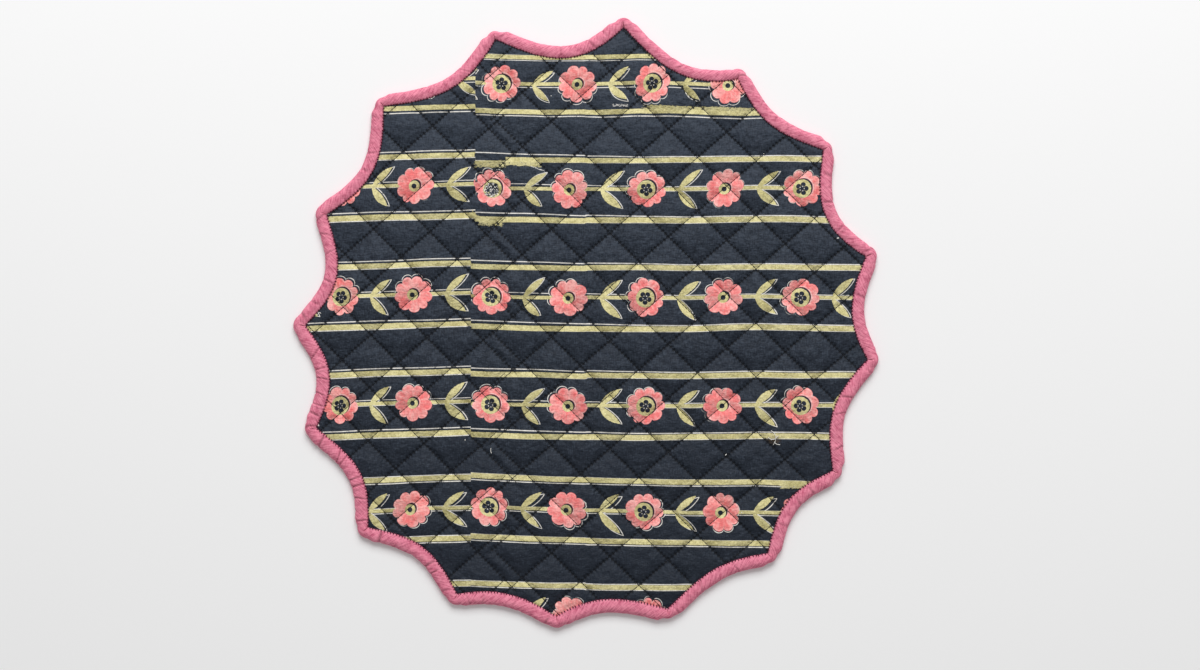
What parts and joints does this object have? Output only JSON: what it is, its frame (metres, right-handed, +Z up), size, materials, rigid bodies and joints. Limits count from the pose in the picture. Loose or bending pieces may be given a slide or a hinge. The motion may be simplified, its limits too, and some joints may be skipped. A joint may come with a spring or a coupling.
{
  "type": "fabric placemat",
  "caption": "Round quilted cotton placemat with a scalloped edge and a folded bias binding.",
  "frame": {"origin": "middle of the mat's outline, on the surface it lies on", "axes": "+Z up out of the printed face, +Y towards the upper edge of the mat across the printed rows, +X along the printed rows"},
  "size_m": [0.3838, 0.4002, 0.0046],
  "materials": {
    "panel_cloth": "matt block-printed cotton, diamond quilted",
    "binding_cloth": "matt pink cotton bias strip"
  },
  "bodies": {
    "root": {"quilted_panel": "panel_cloth", "bias_binding": "binding_cloth"}
  },
  "joints": []
}
